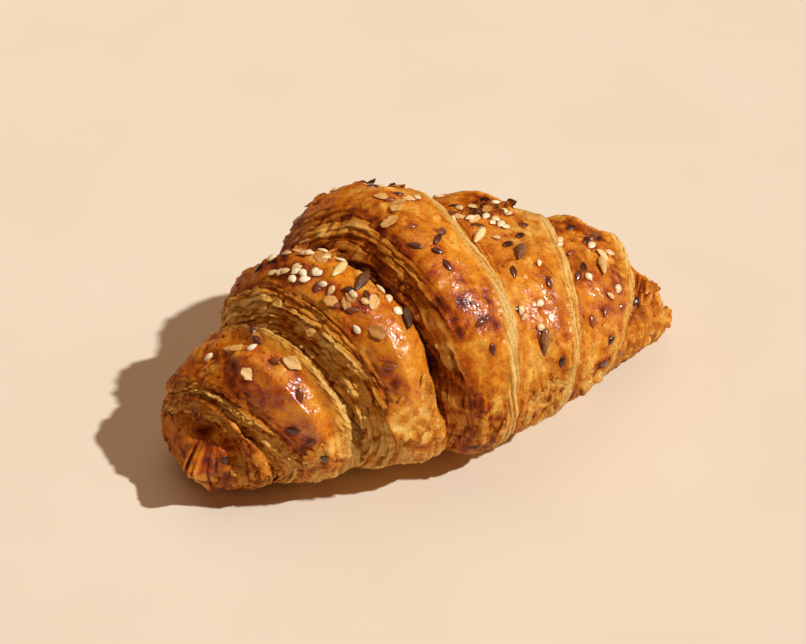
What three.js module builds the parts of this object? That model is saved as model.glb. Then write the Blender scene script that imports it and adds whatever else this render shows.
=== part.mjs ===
// A seeded croissant: one piece of laminated dough, rolled up from a long triangle and baked, with
// sesame, linseed, sunflower kernels and oat flakes stuck to its crust. Millimetres, +Z up.
// The loaf lies along X and rests on z = 0. Round it, the angle runs from the front (-Y) at 0 degrees
// over the top at 90 to the back at 180 and the underside at 270.
import * as THREE from "three";
import { mergeVertices } from "three/addons/utils/BufferGeometryUtils.js";

// ---------- driving dimensions ----------
const HALF_LENGTH = 75;
const AXIS_HEIGHT = 0.46; // height of the roll's axis, as a share of the loaf's height
const SAG = 1.12; // how far the round underside would hang below the table, before it is pressed flat
const CAP_LENGTH = 11; // rounded stretch at each tip
const COLUMNS = 48; // facets round the loaf
const TOP_ROWS = 7; // facets along the top of each turn of the roll
const FACE_ROWS = 3; // facets down each cut edge
const TIP_ROWS = 6;
const SEED_GAP = 0.3; // clear space under each seed
const PRESSED_FROM = 0.45; // share of the way down the side where the relief starts to fade out
const PRESSED_TO = 0.95;

// Sections along the loaf: place, half width, height, sideways drift of the axis.
const SECTIONS = [
  [-75, 14.5, 26, 1.5],
  [-60, 21, 40, -2.5],
  [-42, 30.5, 54.5, -1.5],
  [-22, 39.5, 63, 0],
  [0, 42, 64, 0],
  [22, 37, 53.5, -1],
  [42, 28, 43, -1.5],
  [58, 19, 31, -2],
  [75, 9.5, 14, -3],
];

// The cut edges of the rolled triangle, from the left tip to the right. Each is a ring round the loaf
// at place `at`, tilted by `swing`; from its rim the cut face steps down by `drop` over a length `run`,
// away from the middle of the loaf. `rim` is how far the rim stands above the smooth outline, and
// `flare` how much longer the cut face runs at the back of the top, where the layers have sprung open.
const EDGES = [
  { side: -1, at: -60.5, swing: 6.5, lag: 32, rim: -0.5, run: 5, drop: 8, flare: 0 },
  { side: -1, at: -39.5, swing: 13.5, lag: 10, rim: -1.5, run: 4.5, drop: 6.5, flare: 0 },
  { side: -1, at: -14, swing: 7, lag: 10, rim: -0.3, run: 4, drop: 9, flare: 8 },
  { side: 1, at: 3, swing: -1.5, lag: 10, rim: -0.3, run: 6, drop: 4.2, flare: 0 },
  { side: 1, at: 28.5, swing: -6.5, lag: 10, rim: -1, run: 6, drop: 3.8, flare: 0 },
  { side: 1, at: 55, swing: -9, lag: 10, rim: -1, run: 5, drop: 4, flare: 0 },
];
// How far the back of each turn bulges, from the left tip to the right tip.
const CROWNS = [1.5, 1.1, 2, 0.9, 1.2, 1.2, 1.5];

// ---------- seeds ----------
// Length, width, thickness, and where along its length a seed is widest.
const SEED_SIZES = {
  sesame: { size: [3.3, 2.1, 1.1], widest: 0.58, crust: 0xe9cf9c },
  linseed: { size: [4.6, 2.5, 1.2], widest: 0.55, crust: 0x4a2110 },
  sunflower_kernel: { size: [8.2, 3.4, 2.2], widest: 0.62, crust: 0xcfa865 },
  oat_flake: { size: [5.6, 4.2, 0.9], widest: 0.5, crust: 0xd9ad72 },
};
// Where each seed lies: place along the loaf, angle round it, and the turn of its length from +X.
const SEEDS = {
  sesame: [
    [-39, 109, 10], [-36, 104, 50], [-29, 88, -18], [-26, 84, 20], [-29, 94, 15], [-39, 96, 42],
    [-36, 90, 10], [-19, 62, 62], [-33, 74, 40], [-32, 69, -30], [-28, 62, 60], [-30, 48, 70],
    [-53, 74, 0], [-62, 96, 10], [9, 93, 15], [20, 92, -35], [23, 88, -10], [18, 79, 12],
    [24, 58, -50], [13, 33, -30], [35, 66, -20], [44, 38, 40],
  ],
  linseed: [
    [-42, 117, 15], [-50, 58, 37], [-47, 34, -78], [-26, 29, 20], [-50, 19, 10], [-3, 70, -38],
    [1, 76, -53], [-9, 70, 42], [-7, 80, 0], [0, 102, 15], [15, 90, 30], [25, 80, -20],
    [20, 74, -20], [16, 55, -73], [24, 47, -80], [41, 76, -20], [41, 60, -58], [41, 29, -40],
    [36, 25, -78], [36, 3, 37], [57, 33, -30], [-44, -4, 60],
  ],
  sunflower_kernel: [
    [-28, 77, -33], [-24, 67, -43], [-18, 43, -68], [13, 81, -43], [21, 66, -48], [17, 23, -75],
    [46, 59, -63],
  ],
  oat_flake: [
    [-33, 96, 60], [-26, 43, 42], [-46, 51, 47], [-11, 88, -10], [49, 71, 60], [-24, 55, -65],
  ],
};

// ---------- the dough ----------
const radians = THREE.MathUtils.degToRad;
const mix = THREE.MathUtils.lerp;
const ease = THREE.MathUtils.smoothstep;

// A smooth curve through one column of SECTIONS: cubic pieces with the slopes of their neighbours.
function along(x, column) {
  const last = SECTIONS.length - 1;
  const i = THREE.MathUtils.clamp(SECTIONS.findIndex((s) => s[0] > x) - 1, 0, last - 1);
  const k = SECTIONS[last][0] <= x ? last - 1 : i;
  const slope = (n) => {
    const [a, b] = [SECTIONS[Math.max(n - 1, 0)], SECTIONS[Math.min(n + 1, last)]];
    return (b[column] - a[column]) / (b[0] - a[0]);
  };
  const [from, to] = [SECTIONS[k], SECTIONS[k + 1]];
  const span = to[0] - from[0];
  const t = (x - from[0]) / span;
  const [a, b] = [slope(k) * span, slope(k + 1) * span];
  const rise = to[column] - from[column];
  return from[column] + t * (a + t * (3 * rise - 2 * a - b + t * (a + b - 2 * rise)));
}

// The point of the crust at place x and angle, standing `off` above the smooth outline.
function crustPoint(x, angle, off) {
  const [halfWidth, height, drift] = [along(x, 1), along(x, 2), along(x, 3)];
  const intoCap = Math.max(0, Math.abs(x) - (HALF_LENGTH - CAP_LENGTH)) / CAP_LENGTH;
  const cap = Math.sqrt(Math.max(0, 1 - intoCap ** 2));
  const axis = AXIS_HEIGHT * height;
  const [across, upward] = [Math.cos(angle), Math.sin(angle)];
  const reach = upward > 0 ? height - axis : axis * SAG;
  return new THREE.Vector3(
    x,
    drift - (halfWidth + off) * cap * across,
    Math.max(0, axis + (reach + off) * cap * upward),
  );
}

// 1 on the sides and top, falling to 0 on the underside, where the tray has pressed the relief flat.
const relief = (angle) => 1 - ease(-Math.sin(angle), PRESSED_FROM, PRESSED_TO);

// 1 at the back of the top, where the sprung layers stand widest open, falling to 0 to either side.
const sprung = (angle) => 1 - ease(Math.abs(angle - radians(125)), radians(15), radians(60));

// Where the rim of an edge is, and where the foot of its cut face is, at an angle round the loaf.
function rimAt(edge, angle) {
  return edge.at + edge.swing * Math.cos(angle + radians(edge.lag)) + 0.6 * Math.sin(3 * angle + edge.at);
}
const rim = (edge, angle) => ({ x: rimAt(edge, angle), off: edge.rim * relief(angle) });
const foot = (edge, angle) => ({
  x: rimAt(edge, angle) + edge.side * (edge.run + edge.flare * sprung(angle)),
  off: (edge.rim - edge.drop) * relief(angle),
});

// The rows of the crust from tip to tip, as functions of the angle that give a place and an offset.
function profileRows() {
  const rows = [];
  const stretch = (from, to, count, crown) => {
    for (let i = 0; i < count; i += 1) {
      const t = i / count;
      rows.push((angle) => {
        const [a, b] = [from(angle), to(angle)];
        const plunge = b.off < a.off ? t ** 3 : 1 - (1 - t) ** 3;
        const bulge = crown * Math.sin(Math.PI * t) * relief(angle);
        return { x: mix(a.x, b.x, t), off: mix(a.off, b.off, plunge) + bulge };
      });
    }
  };
  const tip = (side) => () => ({ x: side * HALF_LENGTH, off: 0 });
  const leftOf = (edge) => (edge.side < 0 ? foot : rim).bind(null, edge);
  const rightOf = (edge) => (edge.side < 0 ? rim : foot).bind(null, edge);
  stretch(tip(-1), leftOf(EDGES[0]), TIP_ROWS, CROWNS[0]);
  EDGES.forEach((edge, i) => {
    const next = EDGES[i + 1];
    stretch(leftOf(edge), rightOf(edge), FACE_ROWS, 0);
    if (next) stretch(rightOf(edge), leftOf(next), TOP_ROWS, CROWNS[i + 1]);
  });
  stretch(rightOf(EDGES.at(-1)), tip(1), TIP_ROWS, CROWNS.at(-1));
  return rows.slice(1); // the first row is the left tip itself
}

function doughGeometry() {
  const rows = profileRows();
  const points = [crustPoint(-HALF_LENGTH, 0, 0)];
  for (const row of rows) {
    for (let j = 0; j < COLUMNS; j += 1) {
      const angle = (2 * Math.PI * j) / COLUMNS;
      const { x, off } = row(angle);
      points.push(crustPoint(x, angle, off));
    }
  }
  points.push(crustPoint(HALF_LENGTH, 0, 0));
  const at = (i, j) => 1 + i * COLUMNS + (j % COLUMNS);
  const last = points.length - 1;
  const faces = [];
  for (let j = 0; j < COLUMNS; j += 1) {
    faces.push(0, at(0, j), at(0, j + 1), last, at(rows.length - 1, j + 1), at(rows.length - 1, j));
    for (let i = 0; i + 1 < rows.length; i += 1) {
      faces.push(at(i, j), at(i + 1, j + 1), at(i, j + 1), at(i, j), at(i + 1, j), at(i + 1, j + 1));
    }
  }
  const geometry = new THREE.BufferGeometry().setFromPoints(points).setIndex(faces);
  geometry.computeVertexNormals();
  return geometry;
}

// ---------- putting seeds on the crust ----------
// A seed as a turned teardrop, pressed flat: length along X, thickness along Z.
function seedGeometry({ size: [length, width, thickness], widest }) {
  const [aroundFacets, alongFacets] = [6, 5];
  const outline = [];
  for (let i = 0; i <= alongFacets; i += 1) {
    const t = i / alongFacets;
    const skewed = t ** (Math.log(0.5) / Math.log(widest));
    outline.push(new THREE.Vector2(Math.sin(Math.PI * skewed) ** 0.75 / 2, (t - 0.5) * length));
  }
  outline[0].x = 0;
  outline[alongFacets].x = 0;
  const turned = new THREE.LatheGeometry(outline, aroundFacets);
  turned.rotateZ(-Math.PI / 2).scale(1, width, thickness);
  turned.deleteAttribute("normal").deleteAttribute("uv");
  return mergeVertices(turned, 1e-4);
}

// The first point of the dough that a ray down on the loaf's axis meets, at a place and an angle.
const caster = new THREE.Raycaster();
function crustHit(dough, x, angle) {
  const axis = new THREE.Vector3(x, along(x, 3), AXIS_HEIGHT * along(x, 2));
  const inward = new THREE.Vector3(0, Math.cos(angle), -Math.sin(angle));
  caster.set(axis.clone().addScaledVector(inward, -2 * HALF_LENGTH), inward);
  return caster.intersectObject(dough)[0];
}

// Lays a seed flat on the crust and lowers it along the crust's normal until it is SEED_GAP clear.
function laySeed(mesh, dough, [x, angleDegrees, turnDegrees]) {
  const hit = crustHit(dough, x, radians(angleDegrees));
  const outward = hit.face.normal.clone();
  const lengthwise = new THREE.Vector3(1, 0, 0).projectOnPlane(outward).normalize();
  lengthwise.applyAxisAngle(outward, -radians(turnDegrees));
  const sideways = new THREE.Vector3().crossVectors(outward, lengthwise);
  mesh.setRotationFromMatrix(new THREE.Matrix4().makeBasis(lengthwise, sideways, outward));
  const lift = 8;
  mesh.position.copy(hit.point).addScaledVector(outward, lift);
  mesh.updateMatrixWorld();
  const corners = mesh.geometry.getAttribute("position");
  const inward = outward.clone().negate();
  let clear = Infinity;
  for (let i = 0; i < corners.count; i += 1) {
    caster.set(new THREE.Vector3().fromBufferAttribute(corners, i).applyMatrix4(mesh.matrixWorld), inward);
    clear = Math.min(clear, caster.intersectObject(dough)[0]?.distance ?? Infinity);
  }
  mesh.position.addScaledVector(inward, clear - SEED_GAP);
}

// ---------- the croissant ----------
const croissant = new THREE.Group();
const crustFinish = new THREE.MeshStandardMaterial({ color: 0xb8651f, roughness: 0.4, metalness: 0 });
const dough = new THREE.Mesh(doughGeometry(), crustFinish);
dough.name = "dough";
croissant.add(dough);

for (const [kind, places] of Object.entries(SEEDS)) {
  const finish = new THREE.MeshStandardMaterial({ color: SEED_SIZES[kind].crust, roughness: 0.5 });
  places.forEach((place, i) => {
    const seed = new THREE.Mesh(seedGeometry(SEED_SIZES[kind]), finish);
    seed.name = `${kind}_${String(i + 1).padStart(2, "0")}`;
    laySeed(seed, dough, place);
    croissant.add(seed);
  });
}

export default croissant;
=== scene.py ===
"""A seeded croissant: laminated dough rolled into seven overlapping turns, egg-washed, strewn and baked.

Lengths are millimetres until a mesh is made, and metres for the floor, lights and camera. The loaf lies
along X and rests on z = 0. An angle goes round it from the front (-Y) at 0 degrees over the top at 90 to
the back at 180 and the underside at 270.
"""
import itertools
import math

import bpy
import numpy as np
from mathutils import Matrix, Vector
from mathutils.bvhtree import BVHTree


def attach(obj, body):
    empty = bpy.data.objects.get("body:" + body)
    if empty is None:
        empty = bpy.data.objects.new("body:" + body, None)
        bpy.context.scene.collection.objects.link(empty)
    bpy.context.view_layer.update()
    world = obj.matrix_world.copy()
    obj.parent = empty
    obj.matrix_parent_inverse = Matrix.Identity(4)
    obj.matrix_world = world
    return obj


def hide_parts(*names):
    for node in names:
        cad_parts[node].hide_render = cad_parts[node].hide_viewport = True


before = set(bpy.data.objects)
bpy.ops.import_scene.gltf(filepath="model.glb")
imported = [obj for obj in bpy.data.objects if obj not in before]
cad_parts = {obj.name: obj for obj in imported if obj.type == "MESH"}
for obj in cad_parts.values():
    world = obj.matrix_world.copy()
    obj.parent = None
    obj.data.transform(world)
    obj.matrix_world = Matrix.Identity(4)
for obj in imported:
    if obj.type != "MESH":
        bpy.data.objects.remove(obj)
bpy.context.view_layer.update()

MM = 0.001
random = np.random.default_rng(7)

# ---------- the loaf's outline ----------
HALF_LENGTH = 75.0
CAP_LENGTH = 11.0  # rounded stretch at each tip
AXIS_HEIGHT = 0.46  # height of the roll's axis, as a share of the loaf's height
SAG = 1.05  # how far the round underside would hang below the table, before the tray flattens it
PRESSED = (0.45, 0.95)  # how far down the side the relief starts to fade, and where it is gone

# Sections along the loaf: place, half width, height, sideways drift of the axis.
SECTIONS = np.array([
    (-75, 14.5, 26, 1.5), (-60, 21, 40, -2.5), (-42, 30.5, 54.5, -1.5), (-22, 39.5, 63, 0),
    (0, 42, 64, 0), (22, 37, 53.5, -1), (42, 28, 43, -1.5), (58, 19, 31, -2), (75, 9.5, 14, -3),
])

# Where the rim of each cut edge lies, at every 45 degrees from the underside (270) round to 225.
RIMS = {
    "coil": (-67, -61, -60, -65, -71.5, -73, -73, -71),
    "outer_left": (-57, -49.5, -50, -59.5, -67, -69.5, -68, -62.5),
    "inner_left": (-33, -27.5, -27.5, -33, -42, -49, -49, -42),
    "middle_left": (-11, -6, -7, -9.5, -13.5, -23.5, -22.5, -16),
    "middle_right": (3, 2.5, 3, 6.5, 5.5, 4, 4.5, 4),
    "inner_right": (20, 19.5, 22, 29.3, 35, 34, 31, 26),
    "outer_right": (40, 37, 41.5, 54, 58, 59.5, 57, 50),
}
# How far out from its rim the foot of each cut edge lies, at the same angles.
FEET = {
    "outer_left": (4, 5, 6, 4.5, 3.5, 3, 3, 3),
    "inner_left": (4, 5, 6, 6, 5.5, 5, 5, 4),
    "middle_left": (4, 5, 8, 7, 12, 15, 10, 5),
    "middle_right": (3, 3, 3.2, 4, 5.5, 5, 4, 3),
    "inner_right": (4, 4, 4.8, 4.2, 4.5, 4, 4, 4),
    "outer_right": (3, 3, 3.2, 3.4, 3.6, 3, 3, 3),
}


def ease(value, low, high):
    """0 below low, 1 above high, and 3t^2 - 2t^3 between."""
    t = np.clip((value - low) / (high - low), 0, 1)
    return t * t * (3 - 2 * t)


def section(x):
    """Half width, height and drift at x: cubic pieces through SECTIONS, with their neighbours' slopes."""
    places, values = SECTIONS[:, 0], SECTIONS[:, 1:]
    last = len(places) - 1
    each = np.arange(last + 1)
    before, after = np.clip(each - 1, 0, last), np.clip(each + 1, 0, last)
    slopes = (values[after] - values[before]) / (places[after] - places[before])[:, None]
    k = np.clip(np.searchsorted(places, x) - 1, 0, last - 1)
    span = (places[k + 1] - places[k])[..., None]
    t = ((x - places[k])[..., None] / span).clip(0, 1)
    a, b, rise = slopes[k] * span, slopes[k + 1] * span, values[k + 1] - values[k]
    return np.moveaxis(values[k] + t * (a + t * (3 * rise - 2 * a - b + t * (a + b - 2 * rise))), -1, 0)


def round_loaf(knots, angle):
    """A smooth closed curve through values evenly spaced round the loaf, the first at the underside:
    between q and r, the cubic whose slopes there are half of r - p and half of s - q."""
    knots = np.asarray(knots, float)
    count = len(knots)
    u = (angle + math.pi / 2) / (2 * math.pi / count)
    k = np.floor(u).astype(int)
    t = u - k
    p, q, r, s = (knots[(k + i) % count] for i in (-1, 0, 1, 2))
    return q + t / 2 * (r - p + t * (2 * p - 5 * q + 4 * r - s + t * (3 * (q - r) + s - p)))


def crust_point(x, angle, off):
    """The point at x and angle, `off` above the outline: half an ellipse above the roll's axis and half
    a flatter one below, drawn in at the tips by the square root of 1 - (share of the cap)^2."""
    half_width, height, drift = section(x)
    into_cap = np.clip((abs(x) - (HALF_LENGTH - CAP_LENGTH)) / CAP_LENGTH, 0, 1)
    cap = np.sqrt(1 - into_cap**2)
    axis = AXIS_HEIGHT * height
    reach = np.where(np.sin(angle) > 0, height - axis, axis * SAG)
    y = drift - (half_width + off) * cap * np.cos(angle)
    z = axis + (reach + off) * cap * np.sin(angle)
    return np.stack(np.broadcast_arrays(x, y, z), -1)


# ---------- noise ----------
SHUFFLE = np.random.default_rng(11).permutation(256)
SLOPES = np.random.default_rng(12).normal(size=(256, 3))
SLOPES /= np.linalg.norm(SLOPES, axis=1, keepdims=True)
FULL_SWING = 1.7  # brings the blended slopes up to about -1 to 1


def noise(points):
    """Smooth lumps from about -1 to 1: each corner of a unit cell has a random slope, blended across it
    by 6t^5 - 15t^4 + 10t^3. Below, points / 9 + 3 means lumps 9 mm across, and the 3 only takes them
    from another part of the noise, so that no two patterns run together."""
    cell = np.floor(points).astype(int)
    t = points - cell
    fade = t**3 * (t * (t * 6 - 15) + 10)
    total = 0
    for corner in itertools.product((0, 1), repeat=3):
        i, j, k = np.moveaxis((cell + corner) & 255, -1, 0)
        slope = SLOPES[SHUFFLE[(SHUFFLE[(SHUFFLE[i] + j) & 255] + k) & 255]]
        weight = np.where(corner, fade, 1 - fade).prod(-1)
        total = total + weight * (slope * (t - corner)).sum(-1)
    return FULL_SWING * total


def ridges(points):
    """Sharp creases between round swellings: 1 on a swelling, 0 in a crease."""
    return np.clip(abs(noise(points)) * 2.2, 0, 1)


# ---------- meshes ----------
def closed_mesh(name, grid, first, last, marks, material, slot, *nodes):
    """Closed shells from grids of points: rows joined into rings, and the end rings fanned to two poles.

    grid is (shells, rows, columns, 3) in millimetres, first and last (shells, 3); marks are values on
    the grid that the material reads. Faces are turned so that the volume they enclose is positive.
    """
    shells, rows, columns, _ = grid.shape
    points = np.concatenate([grid.reshape(shells, -1, 3), first[:, None], last[:, None]], 1)
    ring = np.arange(columns)
    following = (ring + 1) % columns
    start = (np.arange(rows - 1) * columns)[:, None]
    quads = np.stack([start + ring, start + following, start + columns + following,
                      start + columns + ring], -1).reshape(-1, 4)
    pole = rows * columns
    end = (rows - 1) * columns
    fans = np.concatenate([
        np.stack([np.full(columns, pole), following, ring], -1),
        np.stack([np.full(columns, pole + 1), end + ring, end + following], -1),
    ])
    tris = np.concatenate([quads[:, :3], quads[:, [0, 2, 3]], fans])
    a, b, c = (points[0][tris[:, i]] for i in range(3))
    if np.einsum("ij,ij->", a, np.cross(b, c)) < 0:
        quads, fans = quads[:, ::-1], fans[:, ::-1]
    shift = (np.arange(shells) * (pole + 2))[:, None, None]
    faces = (quads + shift).reshape(-1, 4).tolist() + (fans + shift).reshape(-1, 3).tolist()
    mesh = bpy.data.meshes.new(name)
    mesh.from_pydata((points.reshape(-1, 3) * MM).tolist(), [], faces)
    mesh.polygons.foreach_set("use_smooth", np.ones(len(faces), bool))
    for mark, values in marks.items():
        vector = values.ndim == 4
        values = values.reshape(shells, rows, columns, -1)
        ends = [values[:, :1].mean(2), values[:, -1:].mean(2)]
        values = np.concatenate([values.reshape(shells, rows * columns, -1), *ends], 1)
        kind, field = ("FLOAT_VECTOR", "vector") if vector else ("FLOAT", "value")
        mesh.attributes.new(mark, kind, "POINT").data.foreach_set(field, values.ravel())
    mesh.materials.append(material)
    piece = bpy.data.objects.new(name, mesh)
    bpy.context.scene.collection.objects.link(piece)
    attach(piece, "root")
    if nodes:
        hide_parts(*nodes)
    return piece


# ---------- materials ----------
def colour(code):
    """An sRGB hex colour such as "d29b59", as linear red, green, blue and alpha."""
    srgb = np.array([int(code[i:i + 2], 16) for i in (0, 2, 4)]) / 255
    linear = np.where(srgb <= 0.04045, srgb / 12.92, ((srgb + 0.055) / 1.055) ** 2.4)
    return (*linear.tolist(), 1.0)


def node(tree, kind, settings=None, stops=(), **links):
    """Adds a node. settings are its properties and stops a colour ramp's places and hex colours; links
    are its inputs, by name or as i0, i1: each a value, a node, or a node and the name of its output."""
    made = tree.nodes.new("ShaderNode" + kind)
    for key, value in (settings or {}).items():
        setattr(made, key, value)
    for number, (place, code) in enumerate(stops):
        band = made.color_ramp.elements
        element = band[number] if number < len(band) else band.new(place)
        element.position, element.color = place, colour(code)
    for key, value in links.items():
        socket = made.inputs[int(key[1:])] if key[1:].isdigit() else made.inputs[key.replace("_", " ")]
        if isinstance(value, bpy.types.Node):
            tree.links.new(value.outputs[0], socket)
        elif isinstance(value, tuple) and isinstance(value[0], bpy.types.Node):
            tree.links.new(value[0].outputs[value[1]], socket)
        else:
            socket.default_value = value
    return made


def new_material(name):
    """An empty material and its tree."""
    material = bpy.data.materials.new(name)
    material.use_nodes = True
    material.node_tree.nodes.clear()
    return material, material.node_tree


def baked_crust():
    """Laminated butter dough, egg-washed and baked: where the wash set it is a thin amber glaze, deep
    orange and shiny; where it never reached, the dough is straw-coloured, matt and finely streaked."""
    # Millimetres. Real bubbles under the wash are 0.5 to 1 mm across: drawn larger, so that they show.
    bubble, wrinkle = 1.2, 2.0
    material, tree = new_material("egg_washed_laminated_dough")
    shade, cut, crease, wash, gloss, grain = (
        node(tree, "Attribute", {"attribute_name": name})
        for name in ("shade", "cut", "crease", "wash", "gloss", "grain"))
    here = node(tree, "TexCoord")
    freckles = node(tree, "TexNoise", Vector=(here, "Object"), Scale=1 / (bubble * MM), Detail=3.0)
    crinkle = node(tree, "TexNoise", Vector=(here, "Object"), Scale=1 / (wrinkle * MM), Detail=0.8,
                   Distortion=1.1)
    veins = node(tree, "TexNoise", Vector=(here, "Object"), Scale=1 / (wrinkle * MM), Detail=2.0,
                 Distortion=1.2)
    across = node(tree, "Math", {"operation": "SUBTRACT"}, i0=veins, i1=0.5)
    from_vein = node(tree, "Math", {"operation": "ABSOLUTE"}, i0=across)
    crack = node(tree, "MapRange", Value=from_vein, From_Max=0.028, To_Min=1.0, To_Max=0.0)
    # Streaks along the cut layers: about 17 times as long as they are wide.
    along = node(tree, "Mapping", Vector=(grain, "Vector"), Scale=(0.06, 0.06, 1.0))
    streaks = node(tree, "TexNoise", Vector=along, Scale=1.5, Detail=4.0)
    mottled = node(tree, "Math", {"operation": "MULTIPLY_ADD"}, i0=freckles, i1=0.26, i2=(shade, "Fac"))
    cracked = node(tree, "Math", {"operation": "MULTIPLY_ADD"}, i0=crack, i1=0.2, i2=mottled)
    toned = node(tree, "Math", {"operation": "SUBTRACT"}, i0=cracked, i1=0.15)
    streaky = node(tree, "Math", {"operation": "MULTIPLY_ADD"}, i0=streaks, i1=0.9, i2=toned)
    lined = node(tree, "Math", {"operation": "SUBTRACT"}, i0=streaky, i1=0.45)
    dry_tone = node(tree, "Mix", i0=(cut, "Fac"), i2=toned, i3=lined)
    glazed = node(tree, "ValToRGB", i0=toned, stops=[
        (0.0, "ecae40"), (0.2, "e0901c"), (0.42, "cf7409"), (0.62, "ab4604"), (0.82, "762404"),
        (1.0, "421203")])
    dry = node(tree, "ValToRGB", i0=dry_tone, stops=[
        (0.0, "f2ca7c"), (0.25, "e5a94a"), (0.5, "ca791f"), (0.75, "94480b"), (1.0, "4a1e05")])
    skin = node(tree, "Mix", {"data_type": "RGBA"}, i0=(wash, "Fac"), i6=dry, i7=glazed)
    # Painted shade: the crease mark darkens the colour towards a near-black brown in the gaps between cut
    # layers, where an edge runs in under its neighbour, and under the lifted leaves.
    with_painted_seam_shade = node(tree, "Mix", {"data_type": "RGBA"}, i0=(crease, "Fac"), i6=(skin, 2), i7=colour("3a1404"))
    # The crust itself is rough with bubbles, streaks and cracks; the glaze over it only wrinkles.
    ripple = node(tree, "Math", {"operation": "MULTIPLY_ADD"}, i0=(gloss, "Fac"), i1=0.2, i2=0.2)
    crinkled = node(tree, "Math", {"operation": "MULTIPLY"}, i0=crinkle, i1=ripple)
    combed = node(tree, "Math", {"operation": "MULTIPLY"}, i0=streaks, i1=(cut, "Fac"))
    pitted = node(tree, "Math", {"operation": "MULTIPLY_ADD"}, i0=freckles, i1=0.35, i2=combed)
    rough = node(tree, "Math", {"operation": "ADD"}, i0=pitted, i1=crinkled)
    height = node(tree, "Math", {"operation": "MULTIPLY_ADD"}, i0=crack, i1=-0.18, i2=rough)
    bump = node(tree, "Bump", Strength=0.9, Distance=0.0005, Height=height)
    wrinkled = node(tree, "Math", {"operation": "MULTIPLY_ADD"}, i0=crack, i1=-0.35, i2=crinkled)
    skin_bump = node(tree, "Bump", Strength=1.0, Distance=0.0005, Height=wrinkled)
    dull = node(tree, "MapRange", Value=(gloss, "Fac"), To_Min=0.55, To_Max=0.4)
    coat = node(tree, "MapRange", Value=(gloss, "Fac"), To_Min=0.05, To_Max=1.0)
    film = node(tree, "MapRange", Value=crinkle, From_Min=0.35, From_Max=0.65, To_Min=0.24, To_Max=0.34)
    shader = node(tree, "BsdfPrincipled", Base_Color=(with_painted_seam_shade, 2), Roughness=dull, IOR=1.45, Normal=bump,
                  Coat_Weight=coat, Coat_Roughness=film, Coat_IOR=1.6, Coat_Normal=skin_bump,
                  Subsurface_Weight=0.06, Subsurface_Scale=0.0012, Specular_IOR_Level=0.12)
    node(tree, "OutputMaterial", Surface=shader)
    return material


def seed_coat(name, stops, roughness, coat, rib, contrast):
    """A dry hull: its tone differs from seed to seed, with lengthwise ribs `rib` millimetres apart and
    a faint speckle; a smooth skin shines through `coat`."""
    speck = 0.9  # millimetres
    material, tree = new_material(name)
    tone, grain = (node(tree, "Attribute", {"attribute_name": key}) for key in ("tone", "grain"))
    here = node(tree, "TexCoord")
    lengthwise = node(tree, "Mapping", Vector=(grain, "Vector"), Scale=(0.12, 1.0, 1.0))
    ribs = node(tree, "TexNoise", Vector=lengthwise, Scale=1 / rib, Detail=2.0)
    speckle = node(tree, "TexNoise", Vector=(here, "Object"), Scale=1 / (speck * MM), Detail=3.0)
    spotted = node(tree, "Math", {"operation": "MULTIPLY_ADD"}, i0=speckle, i1=0.5, i2=(tone, "Fac"))
    ribbed = node(tree, "Math", {"operation": "MULTIPLY_ADD"}, i0=ribs, i1=contrast, i2=spotted)
    level = node(tree, "Math", {"operation": "SUBTRACT"}, i0=ribbed, i1=0.25 + contrast / 2)
    skin = node(tree, "ValToRGB", i0=level, stops=stops)
    bump = node(tree, "Bump", Strength=0.5, Distance=0.0002, Height=ribs)
    shader = node(tree, "BsdfPrincipled", Base_Color=skin, Roughness=roughness, IOR=1.45, Normal=bump,
                  Coat_Weight=coat, Coat_Roughness=0.15)
    node(tree, "OutputMaterial", Surface=shader)
    return material


CRUST = baked_crust()

# ---------- what is strewn on it ----------
# Each kind: usual length, width and thickness, where it is widest, how pointed its ends are, how deep
# it sits in the crust, how many ribs it has, and its material.
KINDS = {
    "sesame": ((2.9, 2.1, 1.2), 0.58, 0.62, 0.2, 0, seed_coat(
        "hulled_sesame", [(0.0, "f9eccb"), (0.5, "f2dcab"), (1.0, "cf9444")], 0.36, 0.3, 0.8, 0.3)),
    "linseed": ((3.6, 2.0, 1.0), 0.55, 0.7, 0.4, 0, seed_coat(
        "brown_linseed", [(0.0, "9a4f20"), (0.5, "592210"), (1.0, "2a0e07")], 0.3, 0.5, 1.2, 0.3)),
    "sunflower_kernel": ((7.6, 3.2, 2.2), 0.6, 0.6, 0.25, 5, seed_coat(
        "sunflower_kernel", [(0.0, "f3dc9c"), (0.3, "dfb266"), (0.5, "9c663a"), (0.72, "684027"),
                             (1.0, "33200f")], 0.34, 0.35, 0.6, 0.6)),
    "oat_flake": ((3.9, 2.7, 0.8), 0.5, 0.5, 0.15, 0, seed_coat(
        "rolled_oat", [(0.0, "f2cf92"), (0.5, "dca55a"), (1.0, "ad6c28")], 0.5, 0.1, 0.9, 0.5)),
}
SMALLER = 0.9  # how much of a seed of the frame shows, once it is set into the crust
# How dark each kernel of the frame is, in the order of their names.
KERNEL_TONES = (0.12, 0.74, 0.88, 0.0, 0.62, 0.56, 0.3)
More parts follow.
